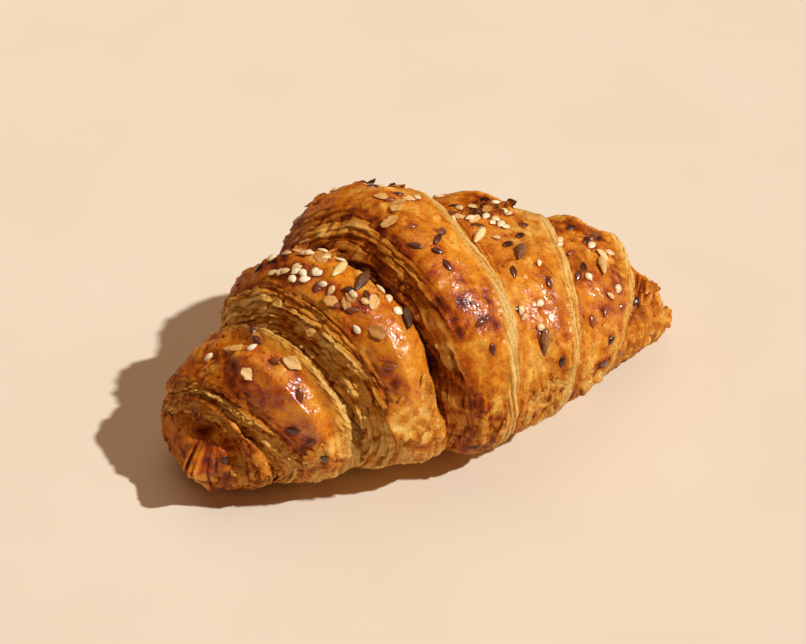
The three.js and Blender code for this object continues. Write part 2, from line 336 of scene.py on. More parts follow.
# More of each kind than the frame has: kind, how many, places from and to, angles from and to.
SCATTERED = [
    ("sesame", 12, -39, -27, 76, 98), ("sesame", 3, -42, -36, 96, 112), ("oat_flake", 6, -37, -26, 60, 105),
    ("linseed", 3, -36, -26, 60, 96), ("sesame", 9, 14, 28, 88, 108), ("linseed", 7, 12, 30, 86, 110),
    ("oat_flake", 4, 12, 30, 88, 106), ("linseed", 5, -12, 3, 90, 122), ("oat_flake", 5, -12, 2, 84, 106),
    ("sesame", 3, -10, 3, 96, 130), ("linseed", 6, 37, 54, 58, 104), ("sesame", 5, 36, 54, 46, 104),
    ("linseed", 3, 36, 48, 4, 40), ("linseed", 4, -58, -46, 34, 100), ("oat_flake", 5, -58, -48, 60, 98),
    ("linseed", 4, 10, 26, 12, 58), ("sesame", 3, 9, 26, 30, 80), ("linseed", 4, -31, -21, 56, 92),
    ("sesame", 3, -27, -18, 44, 66), ("linseed", 3, -5, 1, 56, 80), ("linseed", 1, -66, -64, 4, 10),
    ("sesame", 9, -50, 50, 115, 170), ("linseed", 12, -50, 55, 115, 170),
    ("oat_flake", 6, -45, 50, 112, 165),
    ("linseed", 2, -3, 0, 25, 40), ("linseed", 1, -48, -44, -6, 20),
]


def framed_seed(name):
    """Middle, long direction, outward direction and size of a seed of the frame, from its corners."""
    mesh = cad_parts[name].data
    corners = np.empty(3 * len(mesh.vertices))
    mesh.vertices.foreach_get("co", corners)
    corners = corners.reshape(-1, 3) / MM
    middle = corners.mean(0)
    axes = np.linalg.svd(corners - middle, full_matrices=False)[2]
    outward = axes[2] * np.sign(axes[2] @ (middle - axis_point(middle[0])))
    return middle, axes[0], outward, SMALLER * np.ptp(corners @ axes.T, axis=0)


def scattered_seed(low, high, start, stop):
    """The same for one strewn at random over a stretch of crust."""
    x, angle, turn = random.uniform((low, math.radians(start), 0), (high, math.radians(stop), math.pi))
    middle = crust_point(np.array(x), angle, 0)
    outward = np.array([0, -math.cos(angle), math.sin(angle)])
    around_loaf = np.array([0, math.sin(angle), math.cos(angle)])
    lengthwise = math.cos(turn) * np.array([1, 0, 0]) + math.sin(turn) * around_loaf
    return middle, lengthwise, outward, None


def axis_point(x):
    """The point of the roll's axis at x."""
    _, height, drift = section(np.array(float(x)))
    return np.array([x, drift, AXIS_HEIGHT * height])


SEEDS = {kind: [framed_seed(name) for name in sorted(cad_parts) if name.startswith(kind)]
         for kind in KINDS}
for kind, how_many, *stretch in SCATTERED:
    SEEDS[kind] += [scattered_seed(*stretch) for _ in range(how_many)]
SEED_PLACES = [seed[0] for kind in ("linseed", "sunflower_kernel", "sesame") for seed in SEEDS[kind]]
SEED_HOLLOW = 1.9  # radius of the hollow that a seed has sunk into, a little darker than the rest


# ---------- the turns of the roll ----------
COLUMNS = 400
DENSEST = math.radians(75)  # where the columns stand closest, on the side that is seen most
CROWDED = 0.45  # how much closer they stand there
EVEN = np.linspace(0, 2 * math.pi, COLUMNS, endpoint=False)
ANGLES = EVEN - CROWDED * np.sin(EVEN - DENSEST)
RADIUS = 33.0  # the loaf's usual radius, for measuring along a layer
RELIEF = 1 - ease(-np.sin(ANGLES), *PRESSED)
AT_BASE = 0.45  # how much of a groove's depth is left where it reaches the base
SHALLOW = AT_BASE + (1 - AT_BASE) * ease(np.sin(ANGLES), -0.35, 0.2)
HIDDEN = (-14, -10)  # how deep an edge runs in under its neighbour, where it needs no detail

END_LEFT, END_RIGHT = np.full(8, -HALF_LENGTH), np.full(8, HALF_LENGTH)
RIM = {name: np.array(values, float) for name, values in RIMS.items()}
FOOT = {name: RIM[name] + np.array(FEET[name]) * (-1 if name.endswith("left") else 1) for name in FEET}

# Each turn's outline from left to right between the two rings that bound it. A step is: share of the
# way from the left ring to the right one, millimetres further along, height above the loaf's outline,
# rows to the next step, and how far the surface there is cut layers rather than skin. A place or height
# may be eight values round the loaf. Then, for the left and the right edge: how thick the layers are,
# how ragged, how deep, and how dark.
TURNS = {
    "left_tip": (END_LEFT, RIM["coil"], [
        (0, 0.05, -0.6, 8, 0.1), (0, 0.8, -0.6, 12, 0.1), (0, 2, -0.8, 60, 0.1), (1, -4, -2.0, 30, 0.1),
        (1, -1, -3.6, 16, 0.2), (1, 1, -6.5, 8, 0.4), (1, 4, -10, 4, 0), (1, 7, -13, 0, 0)],
        (1.3, 0.6, 1, 0.45), (1.3, 0.6, 1, 0.5)),
    "left_coil": (RIM["coil"], FOOT["outer_left"], [
        (0, 7, -13, 5, 0), (0, 0.8, -9, 8, 1), (0, -0.3, -3.8, 14, 1), (0, 0.2, -0.9, 10, 0.9),
        (0, 1.6, 0.0, 14, 0.75), (1, -1.5, -2.2, 14, 0.9), (1, 1, -6.5, 8, 1), (1, 4, -12, 4, 0),
        (1, 6, -14, 0, 0)],
        (0.95, 1.0, 1.4, 0.3), (1.0, 1.0, 1.3, 0.38)),
    "left_outer": (RIM["outer_left"], FOOT["inner_left"], [
        (0, 8, -15, 5, 0), (0, -3.4, -10, 6, 1), (0, (-4, -4, -5.4, -4.6, -4, -3.4, -3, -3), -4.8, 40, 1),
        (0, -0.7, -1.2, 8, 1),
        (0, 0.6, -0.4, 10, 0.4),
        (0, 3, (0.8, 0.8, 0.8, 0.8, -0.8, -2, -1.4, 0), 12, 0),
        (0.42, 0, (1.4, 1.4, 1.4, 1.4, 0, -1.4, -0.8, 0.6), 30, 0), (1, -6.5, -2.2, 8, 0),
        (1, -4.6, (-3, -3, -2.8, -2.3, -2.1, -2.2, -3, -3), 8, 0.1),
        (1, -3.0, (-3.6, -3.6, -3, -1.9, -1.7, -2.3, -3.6, -3.6), 7, 1),
        (1, -2.0, (-4, -4, -5, -6.5, -6.5, -4, -4, -4), 8, 1), (1, 0.4, -8.5, 5, 1), (1, 2, -11, 4, 1),
        (1, 7, -15, 0, 0)],
        (1.1, 1.0, 1.4, 0.16), (1.0, 0.7, 1, 0.1)),
    "left_inner": (RIM["inner_left"], FOOT["middle_left"], [
        (0, 8, -16, 5, 0), (0, -6.3, -12, 5, 1),
        (0, -6.0, (-5, -5, -4.8, -7.6, -8.5, -8.5, -8.5, -6), 52, 1), (0, -0.8, -2.4, 12, 1),
        (0, 1.0, -1.2, 10, 0.5), (0, 4, -0.2, 10, 0), (0.5, 0, 0.2, 26, 0), (1, -4, -1.6, 12, 0),
        (1, -0.4, -3.8, 10, 0), (1, 1.2, -8, 6, 0.4), (1, 3, -11, 5, 0), (1, 8, -16, 0, 0)],
        (1.5, 1.0, 1.25, 0.12), (1.2, 0.5, 1, 0.4)),
    "middle": (RIM["middle_left"], RIM["middle_right"], [
        (0, 8, -17, 5, 0), (0, -3.5, -13, 5, 1),
        (0, (-4, -4, -6, -6, -10, -13, -8, -5), -9.6, 48, 1), (0, -0.9, -1.6, 8, 1),
        (0, 0.3, -0.4, 8, 0.3), (0, 3, 0.4, 10, 0), (0.5, 0, 0.8, 26, 0),
        (1, -5, (0.5, 0.5, 0.6, 0.4, -0.6, -1.4, -1, 0), 10, 0),
        (1, -1.3, (0.2, 0.2, 0.2, 0, -1.4, -2.6, -2, -0.5), 6, 0),
        (1, -0.2, (0.1, 0.1, 0.4, 0.2, -1.4, -2.7, -2.2, -0.6), 12, 1),
        (1, 2.2, (-0.8, -0.8, -0.7, -0.8, -2.6, -3.6, -3, -1.6), 8, 1),
        (1, 3.2, (-2.6, -2.6, -2.6, -2.8, -4.4, -5.6, -5, -3.6), 8, 1), (1, 3, -17, 0, 0)],
        (2.6, 0.9, 0.5, 0.42), (1.5, 0.12, 1.2, 0.1)),
    "right_inner": (FOOT["middle_right"], RIM["inner_right"], [
        (0, -7, -16, 5, 0), (0, -2.6, -8, 6, 1),
        (0, -1, (-2, -2, -2, -2.2, -5.6, -7.0, -6, -3), 14, 0.9),
        (0, 0.6, (-1.4, -1.4, -1.4, -1.6, -4.8, -6.2, -5, -2), 10, 0.5),
        (0, 3, (-1, -1, -1.6, -1.7, -3.4, -4.4, -3.6, -1.5), 14, 0),
        (0.5, 0, (-0.1, -0.1, -0.5, -0.6, -0.6, -0.1, -0.1, -0.1), 28, 0),
        (1, -5, (0, 0, 0.5, 0.9, 0.4, -1, -1, 0), 10, 0),
        (1, -1.8, (0, 0, 0.7, 1.1, 0.4, -1.4, -1, 0), 6, 0),
        (1, -0.7, (0.1, 0.1, 1, 1.5, 0.7, -1.2, -1, 0), 14, 1),
        (1, 2.6, (-0.9, -0.9, -0.4, 0, -0.4, -0.9, -0.9, -0.9), 8, 1),
        (1, 3.6, (-3.2, -3.2, -3, -3, -4.6, -5, -4, -3), 8, 1), (1, 3, -15, 0, 0)],
        (1.6, 0.1, 1, 0.2), (1.5, 0.12, 1, 0.12)),
    "right_outer": (FOOT["inner_right"], RIM["outer_right"], [
        (0, -7, -15, 5, 0), (0, -2.6, -8, 6, 1),
        (0, -1, (-2, -2, -2, -2.2, -4.8, -6, -5, -3), 14, 0.9),
        (0, 0.6, (-1.4, -1.4, -1.2, -1.6, -3.8, -5, -4, -2), 10, 0.4),
        (0, 3, (-1, -1, -1, -1.4, -1.8, -2.6, -2.4, -1), 14, 0), (0.5, 0, 0.6, 26, 0),
        (1, -4.5, (0, 0, 0.6, 1.2, 0.8, 0, 0, 0), 10, 0), (1, -1.9, (0, 0, 0.7, 1.3, 0.8, 0, 0, 0), 6, 0),
        (1, -0.8, (0.3, 0.3, 1, 1.7, 1.2, 0.3, 0.3, 0.3), 14, 1), (1, 2.2, -0.4, 8, 1),
        (1, 3.0, -3, 8, 1), (1, 2, -13, 0, 0)],
        (1.6, 0.1, 1, 0.2), (1.4, 0.15, 1, 0.14)),
    "right_tip": (FOOT["outer_right"], END_RIGHT, [
        (0, -6, -13, 5, 0), (0, -2, -7, 6, 0.6), (0, 0, -3.2, 14, 0.5), (0, 3, -1.6, 44, 0.2),
        (1, -6, -0.4, 16, 0.1), (1, -2.5, 0, 10, 0), (1, -0.8, 0, 6, 0), (1, -0.05, 0, 0, 0)],
        (1.6, 0.2, 1, 0.3), (1.8, 0.2, 1, 0.3)),
}

# Patches that the oven darkened, or that stayed pale: place, angle, radius, and how much darker.
# The pale patches at (-32, -10), (-31, 84) and (15, 45) are painted light: sunlight on a cut edge
# that lies in shade, and sheen round the glaze's highlights.
STAINS_AND_PAINTED_LIGHT = [
    (1, 43, 4, 0.34), (-1, 50, 6, 0.12), (2, 36, 3, 0.34), (-4, 48, 3, 0.28), (-2, 55, 3, 0.2),
    (0, 74, 8, -0.16), (4, 50, 2, 0.3), (-6, 36, 2, 0.3), (21, 42, 2, 0.3), (-29, 30, 2.5, 0.25),
    (-9, 86, 7, 0.22), (-13, 98, 6, 0.3), (3, 29, 3.5, -0.3), (-2, -4, 5, 0.35), (-2, -28, 5, 0.4),
    (-6, 8, 3, 0.3), (-7, 40, 2.5, 0.3), (-8, 60, 2.5, 0.3), (0, 128, 9, 0.3), (24, 38, 6, 0.12),
    (13, 70, 5, 0.12), (15, 45, 7, -0.2), (12, 22, 5, -0.15), (17, 4, 6, 0.12), (11, 76, 4, -0.2),
    (22, 104, 7, 0.35),
    (-29, 50, 5, 0.2), (-24, 60, 5, 0.12), (-26, 24, 2.2, 0.5), (-24, 4, 7, -0.22), (-32, -10, 7, -0.35),
    (-16, 0, 5, 0.2), (-12.5, 48, 5, 0.5), (-34, 42, 4, 0.4),
    (-37, 104, 6, 0.3), (-31, 84, 6, -0.1), (-57, 60, 5, 0.22), (-52, 36, 3, 0.25), (-48, 23, 1.8, 0.4),
    (-55, 50, 2.5, 0.25), (-58, 70, 2.5, 0.25), (-50, 60, 2.5, 0.2), (-47, 44, 2, 0.25), (-53, 22, 2.5, 0.25),
    (-48, 26, 5, -0.1), (-44, -6, 5, 0.15), (-60, 84, 5, 0.2), (52, 62, 4, 0.4), (42, 64, 5, 0.12),
    (36, -2, 6, 0.15), (45, 100, 7, 0.25), (-70, 8, 4.5, 0.12), (-69, 38, 4, 0.35), (-65, 14, 3, 0.3),
    (-67, -30, 6, 0.2), (57, 26, 3, 0.5), (66, 44, 4, 0.3), (66, -8, 5, 0.2), (5, 160, 12, 0.2),
    (-30, 150, 10, 0.2), (38, 140, 9, 0.2), (-55, 140, 8, 0.2),
]
# Where the egg wash lies thick and shiny: place, angle, radius.
GLAZED = [
    (0, 47, 7), (-3, 60, 5), (1, 38, 4), (12, 44, 7), (20, 46, 7), (9, 34, 5), (24, 36, 4), (-23, 40, 7),
    (-20, 26, 6), (-27, 54, 5), (-19, 48, 5), (-49, 42, 7), (-53, 56, 6), (-46, 30, 6), (-46, 15, 4),
    (38, 48, 6), (46, 52, 6), (44, 36, 5), (-36, 80, 5), (19, 88, 6), (-22, 12, 4), (-6, 76, 4),
    (-69, 14, 4), (0, 142, 9), (-30, 145, 8), (30, 138, 8), (-54, 140, 6), (52, 125, 6),
]
# Swellings and hollows: place, angle, radius, height.
SWOLLEN = [
    (-70.5, 6, 3.8, 4.4), (-69.5, 46, 3.2, -5.0), (-65.5, 28, 2.6, -5.0), (-64.0, 6, 2.2, -4.6),
    (-68, -26, 3.0, 1.6), (-63, -22, 2.4, 1.2), (57, 26, 2.6, -1.6), (57, 98, 8.0, 3.0), (23, 116, 8.0, 2.0),
    (47, 112, 7.0, 1.8), (66, 36, 1.8, -2.4), (62, 38, 1.8, -2.0), (69.5, 34, 1.6, -1.4),
    (64, 62, 4.0, 1.2), (68, 8, 4.0, 1.2), (-24, 4, 5.0, 0.8),
    (-14, 90, 4.0, -1.6), (-18, 84, 3.0, -1.6), (-46, -4, 4.0, 0.7), (-58, -20, 4.0, 0.7), (3, -10, 4.0, 0.6),
    (-2, -41, 10.0, 3.8), (-18, -41, 6.0, 1.0), (31, -41, 6.0, -2.2),
]
# Where the dough was gathered into pleats round the loaf: place, angle, radius.
PLEATED = [(-70.5, 6, 4.4), (62, 52, 6)]


def near_point(points, centre, radius):
    """1 at a point, falling to 0 over about `radius`."""
    return np.exp(-(((points - centre) / radius) ** 2).sum(-1))


def near(points, x, degrees, radius):
    """The same, at a place and angle on the crust."""
    return near_point(points, crust_point(np.array(float(x)), math.radians(degrees), 0), radius)


def layers(down, ring, thickness, ragged):
    """Cut dough layers about `thickness` apart. Each sheet rises to a lip and falls back behind it; the
    more ragged, the more its lip stands out or in by its own slow noise, and is torn by a quick one.

    `down` is the way across them and `ring` a place round the loaf. Returns their height, 1 in the gap
    before each sheet, and a tone of its own for each.
    """
    gap_width, climb = 0.17, 0.22  # shares of a layer: the gap before a sheet, and the rise to its lip
    swing = noise(np.concatenate([ring / 18, down[..., None] / 6], -1))
    ripple = noise(np.concatenate([ring / 3.6, down[..., None] / 1.6], -1) + 31)
    uneven = noise(np.concatenate([ring / 60, down[..., None] / (2.3 * thickness[..., None])], -1) + 17)
    count = down / thickness + swing * (0.3 + 0.8 * ragged) + 0.35 * ragged * ripple + 0.9 * uneven
    layer = np.floor(count)
    within = count - layer
    own = noise(np.concatenate([ring / 12, (layer * 5.37)[..., None]], -1))
    torn = ease(noise(np.concatenate([ring / 2.4, (layer * 2.7 + 20)[..., None]], -1)), 0.0, 0.25)
    broken = ease(noise(np.concatenate([ring / 5, (layer * 3.1 + 50)[..., None]], -1)), -0.45, 0.1)
    gap = np.exp(-((within / gap_width) ** 2)) * (1 - ragged + ragged * broken)
    lip = ease(within, 0, climb) * (1 - 0.8 * within)
    height = thickness * (0.5 * lip + ragged * (0.75 * own - 0.35 * torn))
    return height, gap, noise(np.concatenate([ring / 20, (layer * 7.7 + 3)[..., None]], -1))


def smooth_rows(values, width):
    """A running mean down the rows, twice, which rounds the corners of an outline."""
    for _ in range(2):
        padded = np.pad(values, ((width, width), (0, 0)), mode="edge")
        total = np.cumsum(np.concatenate([np.zeros((1, values.shape[1])), padded]), 0)
        values = (total[2 * width + 1:] - total[:-2 * width - 1]) / (2 * width + 1)
    return values


def round_values(values):
    """Each value as it is at every column: a number is the same all round, and eight make a curve."""
    return np.stack([round_loaf(v, ANGLES) if np.ndim(v) else np.full(COLUMNS, float(v)) for v in values])


def broken_crust(points):
    """Crust that has cracked into overlapping leaves: a noise cut into terraces, with a lip at each step.

    Returns the height, 1 along the lips' undersides, and a tone for each leaf.
    """
    sheet, curl = 0.2, 0.45  # millimetres: a leaf's thickness, and how far its edge stands up
    rise = 2.6 * noise(points / (8, 8, 6) + 40) + 0.5 * noise(points / 1.8 + 60)
    level = np.floor(rise)
    within = rise - level
    height = sheet * level + curl * ease(within, 0, 0.12)
    return height, np.exp(-((within / 0.07) ** 2)), noise(np.stack([level * 3.3, level, level], -1) + 0.5)


def carried_round(left, right, outline):
    """An outline carried round the loaf: its points, their height, and how far each is cut layers."""
    share, along, off, count, cut = zip(*outline)
    share = np.array(share, float)[:, None]
    knots = np.concatenate([[0], np.cumsum(count[:-1])])
    rows = np.arange(int(knots[-1]) + 1)
    k = np.clip(np.searchsorted(knots, rows, "right") - 1, 0, len(knots) - 2)
    t = ((rows - knots[k]) / (knots[k + 1] - knots[k]))[:, None]
    off = round_values(off)
    off = off * np.where(off < HIDDEN[1], 1, RELIEF * SHALLOW)
    x = round_loaf(left, ANGLES) * (1 - share) + round_loaf(right, ANGLES) * share + round_values(along)
    x, off, cut = (smooth_rows(v[k] * (1 - t) + v[k + 1] * t, 2) for v in (x, off, round_values(cut)))
    outermost = HALF_LENGTH - 0.02  # the last rings stay open, for the poles to close
    x = np.clip(x, -outermost, outermost)
    return crust_point(x, np.broadcast_to(ANGLES, x.shape), off), off, cut


def outward_normals(points):
    """Unit normals of a grid of points, turned away from the middle of its rings."""
    normal = np.cross(np.gradient(points, axis=0), np.roll(points, -1, 1) - np.roll(points, 1, 1))
    normal /= np.linalg.norm(normal, axis=-1, keepdims=True) + 1e-9  # never a division by nothing
    from_middle = points - points.mean(1, keepdims=True)
    return normal * np.sign((from_middle * normal)[len(points) // 2].sum())


def egg_wash(points, cut, to_right):
    """How thick and shiny the glaze lies, and how far the wash coloured the dough: less down the sides
    and on the right; on the cut layers, 0.4 of the glaze colour along the left edges."""
    gloss = np.clip(sum(near(points, *place) for place in GLAZED), 0, 1) * (1 - cut)
    wash = (0.7 + 0.6 * noise(points / 9 + 3)) * (0.45 + 0.55 * ease(np.sin(ANGLES), -0.2, 0.4))
    wash -= 0.35 * ease(points[..., 0], 4, 14)
    wash = np.clip(wash + 0.8 * gloss, 0, 1) * (1 - cut)
    return gloss, wash + 0.4 * cut * (1 - to_right)


def skin(points, ring, cut, gloss):
    """What the skin does as the dough springs and bakes: swellings, wrinkles, furrows, blisters, pits,
    hollows under seeds, pleats, and leaves that flake off low down.

    Returns how far it stands out; how much darker it is there, darker round the seeds and in the pits,
    paler on blisters, a tone for each leaf, and painted shade in the grooves of the furrows and pleats with
    painted light on their ridges; and 1 under the leaves' lips.
    """
    low = 1 - ease(np.sin(ANGLES), -0.05, 0.4)
    calm = 1 - 0.6 * gloss  # a thick wash fills the small wrinkles
    leaf, lip, leaf_tone = broken_crust(points)
    leafy = (1 - cut) * (0.2 + 0.8 * low) * (1 - 0.8 * gloss)
    swell = noise(points / 15) * 0.8
    swell += calm * (noise(points / 6.5 + 9) * 0.5 + noise(points / 2.6 + 5) * 0.25)
    swell += sum(rise * near(points, place, at, size) for place, at, size, rise in SWOLLEN)
    wrinkle = ridges(points / 2.1 + 0.5 * noise(points / 1.3)[..., None]) - 0.6
    wrinkle += 0.4 * ridges(points / 1.2 + 7)
    furrow = low * (ridges(np.concatenate([points[..., :1] / 2.6, ring / 14], -1) + 50) - 0.7)
    blister = ease(noise(points / 3.4 + 20), 0.3, 0.6)
    pit = ease(noise(points / 1.3 + 33), 0.5, 0.75) * (1 - cut) * calm
    sown = np.clip(sum(near_point(points, place, SEED_HOLLOW) for place in SEED_PLACES), 0, 1) * (1 - cut)
    x, y, z = np.moveaxis(points, -1, 0)
    fold = ridges(np.stack([(x - 0.6 * y) / 1.5, (x + y) / 30, z / 16], -1) + 77) - 0.6
    pleat = fold * sum(near(points, *place) for place in PLEATED)

    out = swell + leafy * leaf + 2.2 * pleat - 0.3 * pit - 0.25 * calm * sown
    out += (1 - cut) * (0.15 * calm * wrinkle + 0.4 * calm * blister + 0.55 * furrow)
    # Painted shade in the grooves of the furrows and pleats, and painted light on their ridges.
    darker = 0.4 * leafy * leaf_tone + 0.34 * sown + 0.3 * pit - 0.2 * blister * (1 - gloss) - 0.28 * furrow
    return out, darker * (1 - cut) - 0.8 * pleat, leafy * lip


def turn_of_dough(left, right, outline, left_edge, right_edge):
    """One turn: its outline carried round the loaf, then pushed along its normals by cut layers and
    skin; and for each point how it was cut, washed and baked, from 0, pale, to 1, nearly burnt, with
    painted shade in its gaps and recesses and painted light on its layers' lips."""
    points, off, cut = carried_round(left, right, outline)
    x = points[..., 0]
    down = np.cumsum(np.linalg.norm(np.diff(points, axis=0, prepend=points[:1]), axis=-1), 0)
    ring = np.broadcast_to(RADIUS * np.stack([np.cos(ANGLES), np.sin(ANGLES)], -1), (*down.shape, 2))
    to_right = ease(np.arange(len(points))[:, None] / len(points) + 0 * down, 0.45, 0.55)
    thickness, ragged, depth, edge_shade = (a + (b - a) * to_right for a, b in zip(left_edge, right_edge))
    height, gap, sheet_tone = layers(down, ring, thickness, ragged)
    gloss, wash = egg_wash(points, cut, to_right)
    out, darker, under_lip = skin(points, ring, cut, gloss)
    push = (out + cut * depth * height) * RELIEF * ease(off, *HIDDEN)
    points = points + outward_normals(points) * push[..., None]
    points[..., 2] = np.maximum(points[..., 2], 0)

    # The listed patches: oven stains, plus three pale ones that are painted light.
    stain_and_painted_light = sum(dark * near(points, place, at, size) for place, at, size, dark in STAINS_AND_PAINTED_LIGHT)
    stain_and_painted_light *= 0.85 + 0.9 * noise(points / 2.1 + 11)
    skin_shade = 0.33 + 0.18 * noise(points / 7 + 70) + 0.2 * noise(points / 2.8 + 80) + stain_and_painted_light
    skin_shade += 0.07 * (ease(x, 4, 14) + ease(-x, 44, 50))
    cut_shade = edge_shade + 0.3 * sheet_tone + 0.18 * noise(points / 5 + 90) + 0.5 * stain_and_painted_light
    # Painted light and shade: each sheet's lip is paler, as if lit, and the dough behind it darker, as if in
    # its shade.
    cut_shade -= 0.4 * (height / thickness - 0.3)
    # Painted shade: the colour is darker where an edge runs in under its neighbour, and the crease mark
    # paints more shade in the gaps between sheets, there, and under the leaves' lips.
    buried = ease(-off, 4.5, 9)
    shade = skin_shade * (1 - cut) + darker + cut_shade * cut + 0.25 * buried
    shade += 0.9 * cut * (1 - cut) * (1 - to_right)
    painted_seam_shade = gap * cut * (0.42 + 0.25 * ragged) * (0.4 + 0.6 * depth) + 0.5 * buried + 0.7 * under_lip
    return points, {
        "shade": np.clip(shade, 0, 1), "cut": cut, "crease": np.clip(painted_seam_shade, 0, 0.9), "wash": wash,
        "gloss": gloss, "grain": np.concatenate([ring, down[..., None]], -1),
    }


crust_grids = {name: turn_of_dough(*spec) for name, spec in TURNS.items()}

for name, (points, marks) in crust_grids.items():
    ends = [axis_point(points[row, :, 0].mean())[None] for row in (0, -1)]
    nodes = ["dough"] if name == "middle" else []
    closed_mesh("dough_" + name, points[None], *ends, {k: v[None] for k, v in marks.items()}, CRUST,
                "crust", *nodes)


# ---------- seeds and loose leaves on the crust ----------
def crust_tree():
    """All the turns as one search tree, for laying things on the crust."""
    corners, faces, start = [], [], 0
    for points, _ in crust_grids.values():
        rows, columns, _ = points.shape
        corner = np.arange(rows * columns).reshape(rows, columns)
        next_column = np.roll(corner, -1, 1)
        squares = np.stack([corner[:-1], next_column[:-1], next_column[1:], corner[1:]], -1)
        faces.append(squares.reshape(-1, 4) + start)
        corners.append(points.reshape(-1, 3))
        start += rows * columns
    return BVHTree.FromPolygons(np.concatenate(corners).tolist(), np.concatenate(faces).tolist())


CRUST_TREE = crust_tree()
DROP = 12  # how far outside the crust a thing starts to fall
LEVEL = 1.5  # how much more it keeps to the loaf's normal than to the crust's own


def lay(middle, lengthwise, outward):
    """Where a thing dropped from outside lands on the crust, and its lengthwise, sideways and outward
    directions there: outward is between the crust's own normal and the loaf's."""
    spot, normal, _, _ = CRUST_TREE.ray_cast(Vector(middle + DROP * outward), Vector(-outward))
    if spot is None:
        spot, normal, _, _ = CRUST_TREE.find_nearest(Vector(middle))
    up = np.array(normal)
    up = up * np.sign(up @ outward) + LEVEL * outward
    up /= np.linalg.norm(up)
    forward = lengthwise - up * (up @ lengthwise)
    forward /= np.linalg.norm(forward)
    return np.array(spot), np.stack([forward, np.cross(up, forward), up])


def seed_shape(widest, fullness, ribs, rows=11, columns=20):
    """A teardrop of unit size: radius sin(pi s)^fullness, where s runs 0 to 1 and is 1/2 at `widest`,
    and with `ribs` ridges along it."""
    t = np.linspace(0.02, 0.98, rows)[:, None]
    turn = np.linspace(0, 2 * math.pi, columns, endpoint=False)
    s = t ** (math.log(0.5) / math.log(widest))
    radius = 0.5 * np.sin(math.pi * s) ** fullness * (1 + 0.07 * np.cos(ribs * turn) * (ribs > 0))
    flat = np.where(np.sin(turn) < 0, 0.6, 1.0)
    return np.stack([t - 0.5 + 0 * turn, radius * np.cos(turn), radius * np.sin(turn) * flat], -1)


VARIETY = (0.88, 1.12)  # how small and how large a seed may be, against its kind's size
BEND = 0.02  # how far the ends of a seed curl up, for each square millimetre of its length


def strew(kind):
    """Every seed of a kind: one shape, scaled, slightly bent, turned and set into the crust."""
    (usual, widest, fullness, sunk, ribs, material), seeds = KINDS[kind], SEEDS[kind]
    shape = seed_shape(widest, fullness, ribs)
    sizes = np.array([usual if size is None else (size[0], size[1], usual[2]) for *_, size in seeds])
    sizes = sizes * random.uniform(*VARIETY, sizes.shape)
    spots, frames = (np.array(v) for v in zip(*(lay(*seed[:3]) for seed in seeds)))
    local = shape[None] * sizes[:, None, None]
    if kind == "oat_flake":  # rolled flat: a torn outline, and a fold along the middle
        ragged = noise(np.stack([local[..., 0], local[..., 1], np.arange(len(seeds))[:, None, None]
                                 * 7.7 + 0 * local[..., 0]], -1))
        local[..., :2] *= (1 + 0.25 * ragged)[..., None]
        local[..., 2] += 0.3 * abs(local[..., 1]) - 0.3
    local[..., 2] += (0.5 - sunk) * sizes[:, 2, None, None] + BEND * local[..., 0] ** 2
    points = spots[:, None, None] + np.einsum("nrci,nij->nrcj", local, frames)
    tones = random.uniform(0.0, 0.9, len(seeds))
    if kind == "sunflower_kernel":
        tones[:len(KERNEL_TONES)] = KERNEL_TONES
    names = [name for name in sorted(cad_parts) if name.startswith(kind)]
    marks = {"tone": tones[:, None, None] + 0 * local[..., 0], "grain": local}
    closed_mesh(kind + "_seeds", points, points[:, 0].mean(1), points[:, -1].mean(1), marks, material,
                kind, *names)


for kind in KINDS:
    strew(kind)

# Leaves of crust that have lifted: place, angle, length along the loaf, width round it, turn, how far
# the free edge stands off, and how baked it is.
LEAVES = [
    (-24, 8, 11, 12, -70, 1.2, 0.26), (-19, 16, 6, 8, 40, 0.6, 0.25), (-30, -6, 8, 7, -20, 0.7, 0.3),
    (3, -14, 6, 8, 20, 0.6, 0.3), (-46, -2, 7, 8, 30, 0.7, 0.3), (-52, -14, 7, 7, -30, 0.7, 0.35),
    (12, -6, 6, 8, -10, 0.6, 0.25), (18, 4, 5, 7, 30, 0.6, 0.3), (34, -8, 5, 6, 0, 0.6, 0.3),
    (-3, 134, 5, 4, 20, 1.3, 0.7), (0, 126, 4, 3.5, -30, 1.2, 0.75), (-7, 130, 4, 3, 60, 1.1, 0.65),
    (4, 128, 4, 3, 60, 1.1, 0.7), (-18, 132, 4, 3, 60, 0.9, 0.6),
    (15, 99, 5, 3, 30, 1.2, 0.7), (21, 106, 5, 4, -20, 1.3, 0.75), (26, 104, 4, 3, 10, 1.2, 0.6),
    (24, 98, 3, 2.5, 70, 1.0, 0.7), (30, 108, 4, 3, 30, 1.2, 0.65),
    (66, 16, 8, 8, 10, 0.5, 0.35), (64, 56, 7, 5, 20, 0.5, 0.4),
    (-33, 103, 5, 4, 30, 0.9, 0.45), (-27, 92, 4, 3, -20, 0.8, 0.4), (-62, 92, 5, 4, 10, 0.8, 0.4),
    (-15, 150, 8, 8, 20, 0.8, 0.4), (20, 160, 8, 8, -30, 0.8, 0.35), (-40, 165, 8, 7, 20, 0.8, 0.4),
    (45, 170, 7, 7, 10, 0.8, 0.35), (0, 190, 9, 8, -10, 0.8, 0.3), (-22, 195, 8, 8, 40, 0.8, 0.3),
]


